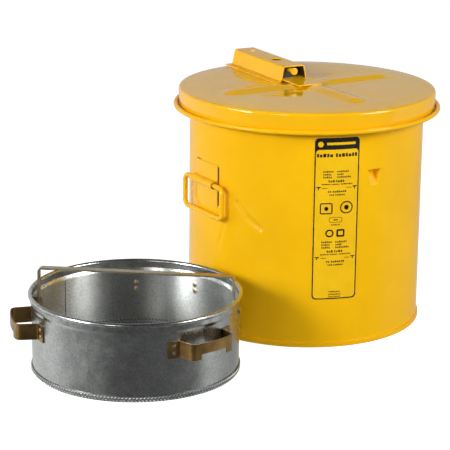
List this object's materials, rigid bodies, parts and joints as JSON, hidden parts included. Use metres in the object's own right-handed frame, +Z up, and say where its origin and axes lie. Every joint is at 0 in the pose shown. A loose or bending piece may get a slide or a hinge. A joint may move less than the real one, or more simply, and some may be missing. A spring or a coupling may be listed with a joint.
{
  "type": "parts washer tank",
  "caption": "Round sheet-steel parts washer tank with a hinged self-closing pan lid, drop handles, inner ledges and a lift-out screen-bottomed drain basket with a bail.",
  "frame": {"origin": "centre of the tank's foot ring, on the floor", "axes": "+Z up, -Y to the tank's front ledge, +Y to the lid hinge, the basket stands towards -X"},
  "size_m": [0.5914, 0.3972, 0.3135],
  "materials": {
    "yellow_enamel": "gloss",
    "galvanised": "satin, spangled",
    "yellow_zinc": "satin, iridescent",
    "zinc_steel": "satin",
    "weld_steel": "rough",
    "link_brass": "satin",
    "solder": "dull",
    "label_film": "gloss"
  },
  "bodies": {
    "tank": {"tank_shell": "yellow_enamel", "tank_bottom": "yellow_enamel", "bottom_seam_ring": "yellow_enamel", "shell_seam_weld": "yellow_enamel", "label_decal": "label_film", "left_handle_plate": "yellow_enamel", "right_handle_plate": "yellow_enamel", "hinge_bracket": "yellow_enamel", "bracket_rivets": "yellow_enamel", "hinge_pin": "zinc_steel", "hinge_pin_clip": "zinc_steel"},
    "lid": {"lid_pan": "yellow_enamel", "lid_channel": "yellow_enamel", "channel_spot_welds": "yellow_enamel", "lid_base_plate": "yellow_enamel", "link_front_bracket": "yellow_enamel", "link_anchor_stud": "yellow_enamel", "link_ring_front": "zinc_steel", "fusible_link_leaf_front": "link_brass", "fusible_link_solder": "solder", "fusible_link_leaf_rear": "link_brass", "link_ring_rear": "zinc_steel", "link_pull_rod": "zinc_steel", "link_rear_bracket": "yellow_enamel", "link_adjusting_nut": "zinc_steel", "lid_hinge_leaf": "yellow_enamel"},
    "left_handle": {"left_drop_handle": "yellow_enamel"},
    "right_handle": {"right_drop_handle": "yellow_enamel"},
    "basket": {"basket_shell": "galvanised", "basket_rim_wire": "galvanised", "basket_seam_strip": "galvanised", "basket_hem_ring": "galvanised", "basket_screen": "galvanised", "strap_handle_front": "yellow_zinc", "strap_handle_right": "yellow_zinc", "strap_handle_left": "yellow_zinc", "strap_spot_welds": "weld_steel", "bail_rivets": "yellow_zinc", "bail_spacers": "yellow_zinc"},
    "bail": {"basket_bail": "yellow_zinc"}
  },
  "joints": [
    {"name": "lid_hinge", "type": "hinge", "parent": "tank", "child": "lid", "pos_m": [0, 0.172, 0.28], "axis": [-1, 0, 0], "range_deg": [0, 82]},
    {"name": "left_handle_swing", "type": "hinge", "parent": "tank", "child": "left_handle", "pos_m": [-0.14868, -0.0026, 0.1885], "axis": [-0.0175, 0.9998, 0], "range_deg": [0, 165]},
    {"name": "right_handle_swing", "type": "hinge", "parent": "tank", "child": "right_handle", "pos_m": [0.14813, 0.01296, 0.1885], "axis": [0.0872, -0.9962, 0], "range_deg": [0, 165]},
    {"name": "basket_lift", "type": "slide", "parent": "tank", "child": "basket", "axis": [-0.3273, -0.092, 0.9404], "range_m": [0, 0.25]},
    {"name": "bail_swing", "type": "hinge", "parent": "basket", "child": "bail", "pos_m": [-0.2825, -0.0794, 0.073], "axis": [0.7944, -0.6074, 0], "range_deg": [-45, 45]}
  ]
}
